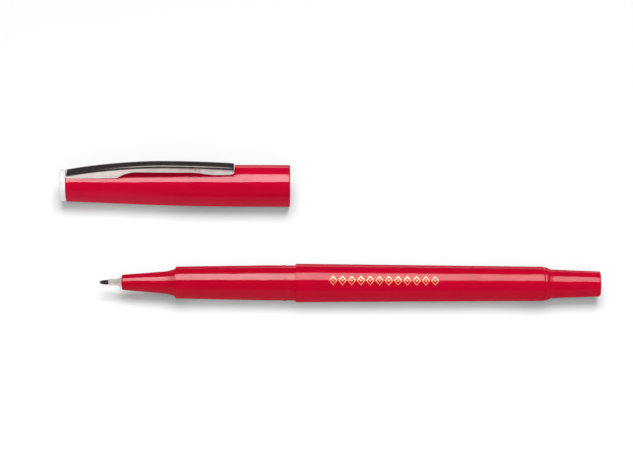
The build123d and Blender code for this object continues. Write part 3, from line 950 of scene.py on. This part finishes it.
CLIP_LENGTH = 44.4
CLIP_TOP = 8.395
ROOT_TOP = 4.975
ROOT_BOTTOM = 4.06
ROOT_ROUND = 0.6
ARCH_REAR = 12.774
ARCH_REAR_ROUND = (12.4, 24)
ARCH_FRONT = 35.218
ARCH_FRONT_ROUND = (8.4, 16)
TIP_TOP = 7.6
TIP_ROUND = 0.55
FOOT_BOTTOM = 5.83
FOOT_FRONT_ROUND = (1.4, 8)
FOOT_REAR = 37.768
FOOT_REAR_ROUND = (1.6, 8)
WAIST_BOTTOM = 6.65
WAIST_FRONT = 34.632
WAIST_FRONT_ROUND = (1.6, 8)
WAIST_REAR = 15.986
WAIST_REAR_ROUND = (2.6, 12)
HEEL_FRONT = 13.7
HEEL_BOTTOM = 4.685
HEEL_ROUND = (0.3, 4)
EYE_BORE_RADIUS = 2.75
EYE_RADIUS = 3.45
NECK_WIDTH = 2.0
NECK_HEIGHT = 1.4
NECK_MIDDLE = 4.0
# The web is nearly two arcs that meet at its crest, and the walls spread below them
CREST = 26.0
REAR_ARC_RADIUS = 100.5
FRONT_ARC_RADIUS = 213.3
# The walls are cut into short lengths before they spread
CLIP_SLICES = 60
SLICE_LENGTH = 0.74
SAME_SLICE = 0.0001
# How normals lean, which tells undersides, web and walls apart, and how near a wall is to its outer place
LOOKS_DOWN = -0.03
WEB_LEAN = 0.05
WALL_LEAN = 0.95
WALL_MARGIN = 0.01


class PEN_OT_clip(bpy.types.Operator):
    """Folds the clip: an arched channel with deep heel and foot, bent down at root and tip"""

    bl_idname = "pen.make_clip"
    bl_label = "Clip"

    def execute(self, context):
        own = sizes()
        half = own.clip_width / MM / 2
        sheet = own.clip_sheet / MM
        bm = self.side(half)
        made = bmesh.ops.extrude_face_region(bm, geom=bm.faces[:])
        moved = [item for item in made["geom"] if isinstance(item, bmesh.types.BMVert)]
        bmesh.ops.translate(bm, vec=(0, 2 * half, 0), verts=moved)
        self.spread(bm, math.tan(own.clip_splay))
        bmesh.ops.recalc_face_normals(bm, faces=bm.faces[:])
        under = [face for face in bm.faces if face.normal.z < LOOKS_DOWN]
        bmesh.ops.delete(bm, geom=under, context="FACES")
        bmesh.ops.recalc_face_normals(bm, faces=bm.faces[:])
        bmesh.ops.solidify(bm, geom=bm.faces[:], thickness=sheet)
        bm.normal_update()
        bevelled(bm, self.folds(bm, half), own.clip_fold / MM, "EDGES", own.round_steps)
        rim = [(0, EYE_BORE_RADIUS), (0, EYE_RADIUS), (sheet, EYE_RADIUS), (sheet, EYE_BORE_RADIUS)]
        neck = block((sheet, NECK_WIDTH, NECK_HEIGHT), (sheet / 2, 0, NECK_MIDDLE))
        joined(joined(bm, turned(rim)), neck)
        piece = finished("clip_strip", bm, ALONG_CLIP, "clip", "clip_metal", "clip")
        # The clip's colour carries a painted reflection of the red cap as a pink tint
        dressed(piece, metal("clip_metal", finishes().clip_metal, CLIP_ROUGHNESS, CLIP_PURITY))
        return {"FINISHED"}

    def side(self, half):
        """The clip's outline seen from the side, as one face."""
        corners = [
            (0, ROOT_TOP, ROOT_ROUND),
            (ARCH_REAR, CLIP_TOP, *ARCH_REAR_ROUND),
            (ARCH_FRONT, CLIP_TOP, *ARCH_FRONT_ROUND),
            (CLIP_LENGTH, TIP_TOP, TIP_ROUND),
            (CLIP_LENGTH, FOOT_BOTTOM, *FOOT_FRONT_ROUND),
            (FOOT_REAR, FOOT_BOTTOM, *FOOT_REAR_ROUND),
            (WAIST_FRONT, WAIST_BOTTOM, *WAIST_FRONT_ROUND),
            (WAIST_REAR, WAIST_BOTTOM, *WAIST_REAR_ROUND),
            (HEEL_FRONT, HEEL_BOTTOM, *HEEL_ROUND),
            (0, ROOT_BOTTOM),
        ]
        bm = bmesh.new()
        verts = [bm.verts.new((corner[0], -half, corner[1])) for corner in corners]
        bm.faces.new(verts)
        rounded(bm, verts, corners)
        return bm

    def spread(self, bm, slope):
        """Spreads the side walls below the arched web, after cutting them into short lengths."""
        for step in range(1, CLIP_SLICES):
            geom = bm.verts[:] + bm.edges[:] + bm.faces[:]
            place = (SLICE_LENGTH * step, 0, 0)
            bmesh.ops.bisect_plane(bm, geom=geom, dist=SAME_SLICE, plane_co=place, plane_no=(1, 0, 0))
        for vert in bm.verts:
            bow = REAR_ARC_RADIUS if vert.co.x < CREST else FRONT_ARC_RADIUS
            top = CLIP_TOP - bow + math.sqrt(bow**2 - (vert.co.x - CREST) ** 2)
            vert.co.y += math.copysign(slope * max(top - vert.co.z, 0), vert.co.y)

    def folds(self, bm, half):
        """The outer edges between the web and the two side walls."""
        found = set()
        for wall in bm.faces:
            aside = abs(wall.calc_center_median().y)
            if abs(wall.normal.y) > WALL_LEAN and aside > half - WALL_MARGIN:
                for edge in wall.edges:
                    other = [face.normal for face in edge.link_faces if face is not wall]
                    if other and other[0].z > LOOKS_DOWN and abs(other[0].y) < WEB_LEAN:
                        found.add(edge)
        return list(found)


# Inner pieces


class PEN_OT_inner_pieces(bpy.types.Operator):
    """Gives the inner cap, the reservoir and its film their finishes"""

    bl_idname = "pen.dress_inner_pieces"
    bl_label = "Inner pieces"

    def execute(self, context):
        own = finishes()
        dressed(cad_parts["inner_cap"], plastic("liner_milk", own.liner_white, LINER_COAT))
        dressed(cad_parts["reservoir_film"], plastic("film_clear", own.film_clear, FILM_COAT))
        felt = fibre("reservoir_felt", own.reservoir_felt, RESERVOIR_DRYNESS, RESERVOIR_BUMP)
        dressed(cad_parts["ink_reservoir"], felt)
        return {"FINISHED"}


# Stage

# Table top, in metres
TABLE_RADIUS = 2.0
TABLE_SIDES = 96
# Keeps the table's face clear of what lies on it
TABLE_DROP = 0.00003
# The table shows its light and shade up to the first distance from its middle, and white past the second
TABLE_FADE = (0.12, 0.35)
# Softness of the ends of the highlight lamp's bright part, as a share of the lamp's width
BRIGHT_EDGE = 0.01
# The room, by the direction that it is seen in: how walls fade as they rise, and a window behind and above
WALL_RISE = (0.1, 0.60)
WALL_GLOW = (0.25, 0.04)
WINDOW_GLOW = 1.1
WINDOW_LOW = (0.87, 0.90)
WINDOW_NEAR = (-0.06, 0.0)
WINDOW_LEFT = (-0.30, -0.24)
WINDOW_RIGHT = (0.12, 0.07)
# The camera's sensor in millimetres, and how near and far it sees in metres
SENSOR_WIDTH = 36.0
NEAREST_VIEW = 0.01
FARTHEST_VIEW = 10.0


class PEN_OT_stage(bpy.types.Operator):
    """Sets the pale table top, the lamps, the dim room and the camera"""

    bl_idname = "pen.make_stage"
    bl_label = "Stage"

    def execute(self, context):
        scene = context.scene
        own = scene.pen_stage
        scene.view_settings.view_transform = "Standard"
        self.floor(scene, own)
        self.lamps(scene, own)
        self.room(scene)
        self.camera(scene, own)
        return {"FINISHED"}

    def floor(self, scene, own):
        """A round table top that turns white away from the pen, where it is seen or mirrored."""
        bm = bmesh.new()
        bmesh.ops.create_circle(bm, cap_ends=True, radius=TABLE_RADIUS, segments=TABLE_SIDES)
        bmesh.ops.translate(bm, vec=(0, 0, -TABLE_DROP), verts=bm.verts[:])
        mesh = bpy.data.meshes.new("table_top")
        bm.to_mesh(mesh)
        bm.free()
        floor = bpy.data.objects.new("table_top", mesh)
        scene.collection.objects.link(floor)
        made = bpy.data.materials.new("table_top")
        tree = emptied(made)
        coords = node(tree, "ShaderNodeTexCoord").outputs["Object"]
        reach = node(tree, "ShaderNodeVectorMath", {0: coords}, operation="LENGTH").outputs["Value"]
        path = node(tree, "ShaderNodeLightPath").outputs
        seen = calc(tree, "ADD", path["Is Camera Ray"], path["Is Glossy Ray"])
        seen = calc(tree, "ADD", seen, path["Is Transmission Ray"])
        far = calc(tree, "MULTIPLY", remap(tree, reach, *TABLE_FADE), seen)
        matt = node(tree, "ShaderNodeBsdfDiffuse", {"Color": rgba(own.floor_white)}).outputs["BSDF"]
        white = node(tree, "ShaderNodeEmission", {"Color": WHITE, "Strength": 1.0}).outputs["Emission"]
        surface = node(tree, "ShaderNodeMixShader", {0: far, 1: matt, 2: white}).outputs["Shader"]
        node(tree, "ShaderNodeOutputMaterial", {"Surface": surface})
        mesh.materials.append(made)

    def lamp(self, scene, name, location, size, watts):
        """An area lamp that looks at the middle, its width along the pen."""
        data = bpy.data.lights.new(name, "AREA")
        data.shape = "RECTANGLE"
        data.size, data.size_y = size
        data.energy = watts
        holder = bpy.data.objects.new(name, data)
        holder.location = location
        straight_down = Vector((0, 0, -1))
        holder.rotation_euler = straight_down.rotation_difference(-Vector(location)).to_euler()
        holder.visible_camera = False
        scene.collection.objects.link(holder)
        return holder

    def lamps(self, scene, own):
        """A softbox for light and shadow, two lamps for highlights alone, and a fill by the camera."""
        behind = (own.softbox_aside, own.softbox_back, own.softbox_height)
        softbox_size = (own.softbox_width, own.softbox_depth)
        softbox = self.lamp(scene, "softbox", behind, softbox_size, own.softbox_power)
        softbox.visible_glossy = False
        overhead = (0, 0, own.softbox_height)
        highlight_size = (own.gloss_width, own.gloss_depth)
        highlight = self.lamp(scene, "highlight", overhead, highlight_size, own.gloss_power)
        self.dim_ends(highlight.data, own)
        low = (0, own.rim_distance, own.rim_height / 2)
        rim = self.lamp(scene, "rim", low, (own.rim_width, own.rim_height), own.rim_power)
        for sheen in (highlight, rim):
            sheen.visible_diffuse = False
            sheen.light_linking.receiver_collection = glossy_pieces()
        away = own.fill_distance
        beside = (0, -away * math.cos(own.camera_angle), away * math.sin(own.camera_angle))
        fill = self.lamp(scene, "fill", beside, (own.fill_size, own.fill_size), own.fill_power)
        fill.visible_glossy = False

    def dim_ends(self, data, own):
        """Dims the highlight lamp beside its bright part, and brightens it again towards its ends."""
        tree = emptied(data)
        spot = node(tree, "ShaderNodeNewGeometry").outputs["Parametric"]
        along = node(tree, "ShaderNodeSeparateXYZ", {0: spot}).outputs["X"]
        first = 0.5 - own.gloss_to_tip / own.gloss_width
        last = 0.5 + own.gloss_to_tail / own.gloss_width
        begun = remap(tree, along, first - BRIGHT_EDGE, first)
        bright = calc(tree, "MULTIPLY", begun, remap(tree, along, last + BRIGHT_EDGE, last))
        aside = calc(tree, "ABSOLUTE", calc(tree, "SUBTRACT", along, 0.5))
        strength = calc(tree, "MAXIMUM", bright, remap(tree, aside, 0.0, 0.5, 0.0, own.gloss_ends))
        glow = node(tree, "ShaderNodeEmission", {"Color": WHITE, "Strength": strength})
        node(tree, "ShaderNodeOutputLight", {"Surface": glow.outputs["Emission"]})

    def room(self, scene):
        """Dim walls, and a window that shows in reflections alone."""
        world = bpy.data.worlds.new("room")
        scene.world = world
        tree = emptied(world)
        way = node(tree, "ShaderNodeTexCoord").outputs["Generated"]
        place = node(tree, "ShaderNodeSeparateXYZ", {0: way}).outputs
        walls = remap(tree, place["Z"], *WALL_RISE, *WALL_GLOW)
        above = remap(tree, place["Z"], *WINDOW_LOW, 0.0, WINDOW_GLOW)
        behind = remap(tree, place["Y"], *WINDOW_NEAR)
        left = remap(tree, place["X"], *WINDOW_LEFT)
        across = calc(tree, "MULTIPLY", left, remap(tree, place["X"], *WINDOW_RIGHT))
        mirrored = node(tree, "ShaderNodeLightPath").outputs["Is Glossy Ray"]
        window = calc(tree, "MULTIPLY", calc(tree, "MULTIPLY", above, behind), across)
        glow = calc(tree, "MULTIPLY_ADD", window, mirrored, walls)
        back = node(tree, "ShaderNodeBackground", {"Color": WHITE, "Strength": glow})
        node(tree, "ShaderNodeOutputWorld", {"Surface": back.outputs["Background"]})

    def camera(self, scene, own):
        """A camera that looks across the pen and down on the table."""
        data = bpy.data.cameras.new("camera")
        data.sensor_width = SENSOR_WIDTH
        data.lens = own.camera_lens
        data.clip_start = NEAREST_VIEW
        data.clip_end = FARTHEST_VIEW
        holder = bpy.data.objects.new("camera", data)
        scene.collection.objects.link(holder)
        look = Vector((0, math.cos(own.camera_angle), -math.sin(own.camera_angle)))
        turn = look.to_track_quat("-Z", "Y").to_matrix() @ Matrix.Rotation(own.camera_roll, 3, "Z")
        holder.location = (-own.camera_aside, -own.camera_back, own.camera_height)
        holder.rotation_euler = turn.to_euler()
        scene.camera = holder


class PEN_PT_sidebar(bpy.types.Panel):
    """Lists the pieces and their settings"""

    bl_label = "Fineliner pen"
    bl_space_type = "VIEW_3D"
    bl_region_type = "UI"
    bl_category = "Fineliner"

    def draw(self, context):
        for operator in OPERATORS:
            self.layout.operator(operator.bl_idname)
        for name in SETTINGS:
            box = self.layout.box()
            own = getattr(context.scene, name)
            for key in own.bl_rna.properties.keys():
                if key not in ("rna_type", "name"):
                    box.prop(own, key)


SETTINGS = {"pen_sizes": PenSizes, "pen_finishes": PenFinishes, "pen_stage": PenStage}
OPERATORS = (
    PEN_OT_barrel,
    PEN_OT_grip,
    PEN_OT_tail,
    PEN_OT_writing_end,
    PEN_OT_cap,
    PEN_OT_clip,
    PEN_OT_inner_pieces,
    PEN_OT_stage,
)


def register():
    for name, settings in SETTINGS.items():
        bpy.utils.register_class(settings)
        setattr(bpy.types.Scene, name, PointerProperty(type=settings))
    for made in (*OPERATORS, PEN_PT_sidebar):
        bpy.utils.register_class(made)


def unregister():
    for made in (PEN_PT_sidebar, *reversed(OPERATORS)):
        bpy.utils.unregister_class(made)
    for name, settings in SETTINGS.items():
        delattr(bpy.types.Scene, name)
        bpy.utils.unregister_class(settings)


def main():
    """Makes the pieces and the stage."""
    register()
    bpy.ops.pen.make_barrel()
    bpy.ops.pen.make_grip()
    bpy.ops.pen.make_tail()
    bpy.ops.pen.make_writing_end()
    bpy.ops.pen.make_cap()
    bpy.ops.pen.make_clip()
    bpy.ops.pen.dress_inner_pieces()
    bpy.ops.pen.make_stage()


if __name__ == "__main__":
    main()
